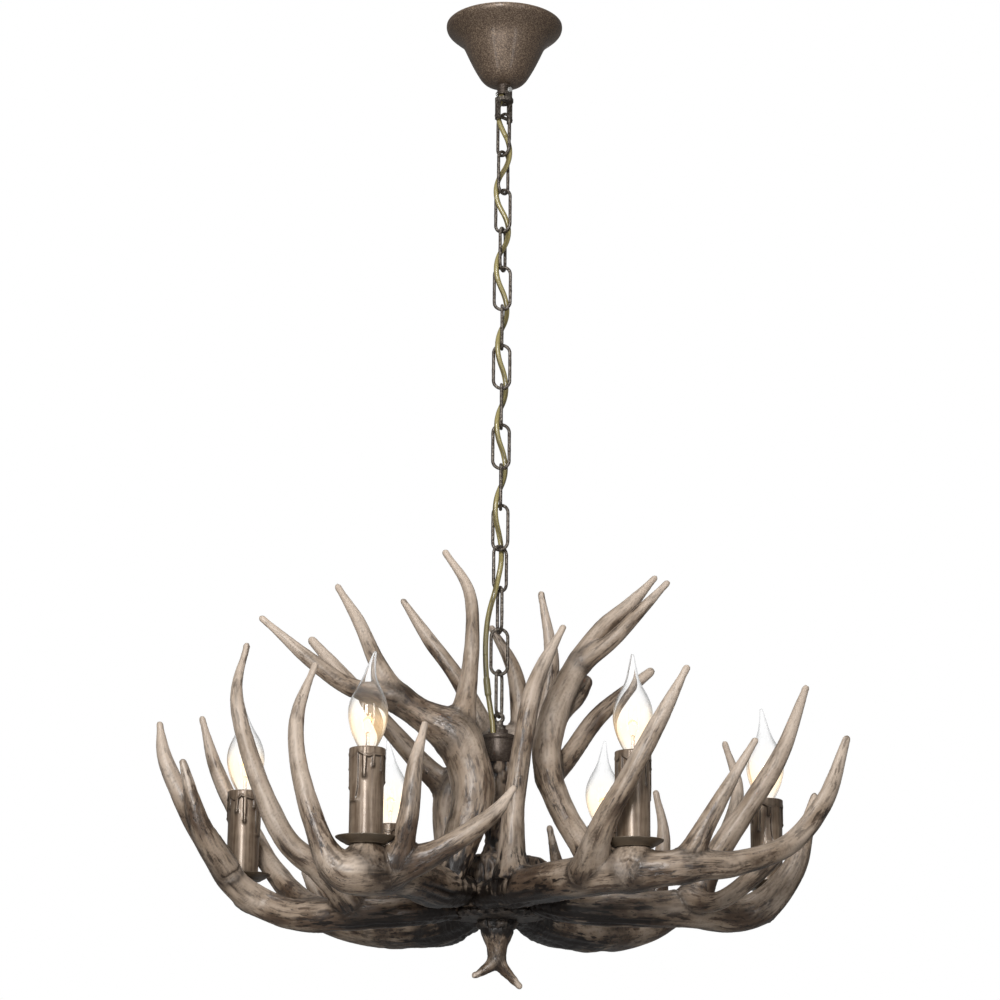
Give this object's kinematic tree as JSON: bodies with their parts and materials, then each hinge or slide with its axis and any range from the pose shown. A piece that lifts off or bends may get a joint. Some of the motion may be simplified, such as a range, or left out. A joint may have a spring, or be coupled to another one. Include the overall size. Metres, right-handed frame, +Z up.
{
  "type": "antler chandelier",
  "caption": "Chandelier of resin antlers with candle lamps on a bark-textured hub, hung on a chain with its cord from a flared ceiling canopy.",
  "frame": {"origin": "middle of the ceiling bracket on the ceiling plane", "axes": "+Z up, +X to the right, +Y away from the viewer; the two ceiling screws lie along X"},
  "size_m": [0.6794, 0.4916, 1.0278],
  "materials": {
    "antler": "cast resin painted as weathered antler, satin",
    "bark": "cast resin, dark ridged bark",
    "dark_metal": "hammered dark bronze paint",
    "canopy_paint": "brown speckled paint, semi-gloss",
    "steel": "zinc plated",
    "pan_paint": "olive brown paint, satin",
    "sleeve": "brown candle sleeve, satin",
    "holder": "dark thermoset",
    "cord": "clear golden cord over two cores",
    "connector": "white moulded plastic",
    "glass": "clear lamp glass"
  },
  "bodies": {
    "ceiling_mount": {"ceiling_bracket": "steel", "canopy": "canopy_paint", "ceiling_nipple": "steel", "nipple_nuts": "steel", "neck_collar": "dark_metal", "yoke_pins": "steel", "terminal_block": "connector"},
    "hook": {"yoke": "dark_metal", "yoke_bar": "dark_metal"},
    "chain": {"chain_links_upper": "dark_metal", "chain_links_lower": "dark_metal", "supply_cord": "cord", "shrink_sleeve": "cord"},
    "last_link": {"chain_link_last": "dark_metal"},
    "fixture": {"top_loop": "dark_metal", "loop_collar": "dark_metal", "grip_screw": "steel", "cap": "dark_metal", "stem": "bark", "centre_rod": "steel", "hub": "bark", "hub_nut": "steel", "hub_cover": "bark", "antler_bolts": "steel", "wire_connector": "connector", "finial": "antler", "lamp_nipples": "steel", "lower_antler_front_left": "antler", "lower_antler_front_right": "antler", "lower_antler_left": "antler", "lower_antler_right": "antler", "lower_antler_back_left": "antler", "lower_antler_back_right": "antler", "upper_antler_front_left": "antler", "upper_antler_right": "antler", "upper_antler_back": "antler", "drip_pan_1": "pan_paint", "lamp_holder_1": "holder", "candle_sleeve_1": "sleeve", "drip_pan_2": "pan_paint", "lamp_holder_2": "holder", "candle_sleeve_2": "sleeve", "drip_pan_3": "pan_paint", "lamp_holder_3": "holder", "candle_sleeve_3": "sleeve", "drip_pan_4": "pan_paint", "lamp_holder_4": "holder", "candle_sleeve_4": "sleeve", "drip_pan_5": "pan_paint", "lamp_holder_5": "holder", "candle_sleeve_5": "sleeve", "drip_pan_6": "pan_paint", "lamp_holder_6": "holder", "candle_sleeve_6": "sleeve"},
    "bulb_1": {"bulb_1": "glass"},
    "bulb_2": {"bulb_2": "glass"},
    "bulb_3": {"bulb_3": "glass"},
    "bulb_4": {"bulb_4": "glass"},
    "bulb_5": {"bulb_5": "glass"},
    "bulb_6": {"bulb_6": "glass"}
  },
  "joints": [
    {"name": "hook_swing", "type": "hinge", "parent": "ceiling_mount", "child": "hook", "pos_m": [0, 0, -0.076], "axis": [0.7071, -0.7071, 0], "range_deg": [-20, 20], "deforming": ["supply_cord", "shrink_sleeve"]},
    {"name": "chain_swing", "type": "hinge", "parent": "hook", "child": "chain", "pos_m": [0, 0, -0.1062], "axis": [0.7071, 0.7071, 0], "range_deg": [-20, 20], "deforming": ["supply_cord", "shrink_sleeve"]},
    {"name": "last_link_swing", "type": "hinge", "parent": "chain", "child": "last_link", "pos_m": [0, 0, -0.7135], "axis": [0.9962, 0.0872, 0], "range_deg": [-8, 8], "deforming": ["supply_cord", "shrink_sleeve"]},
    {"name": "fixture_swing", "type": "hinge", "parent": "last_link", "child": "fixture", "pos_m": [0, 0, -0.7569], "axis": [0.342, 0.9397, 0], "range_deg": [-8, 8], "deforming": ["supply_cord", "shrink_sleeve"]},
    {"name": "bulb_1_turn", "type": "hinge", "parent": "fixture", "child": "bulb_1", "pos_m": [-0.122, -0.204, -0.825], "axis": [0, 0, 1], "range_deg": [0, 180]},
    {"name": "bulb_2_turn", "type": "hinge", "parent": "fixture", "child": "bulb_2", "pos_m": [0.125, -0.204, -0.826], "axis": [0, 0, 1], "range_deg": [0, 180]},
    {"name": "bulb_3_turn", "type": "hinge", "parent": "fixture", "child": "bulb_3", "pos_m": [-0.254, 0, -0.835], "axis": [0, 0, 1], "range_deg": [0, 180]},
    {"name": "bulb_4_turn", "type": "hinge", "parent": "fixture", "child": "bulb_4", "pos_m": [0.268, 0, -0.839], "axis": [0, 0, 1], "range_deg": [0, 180]},
    {"name": "bulb_5_turn", "type": "hinge", "parent": "fixture", "child": "bulb_5", "pos_m": [-0.116, 0.204, -0.838], "axis": [0, 0, 1], "range_deg": [0, 180]},
    {"name": "bulb_6_turn", "type": "hinge", "parent": "fixture", "child": "bulb_6", "pos_m": [0.113, 0.204, -0.837], "axis": [0, 0, 1], "range_deg": [0, 180]}
  ]
}
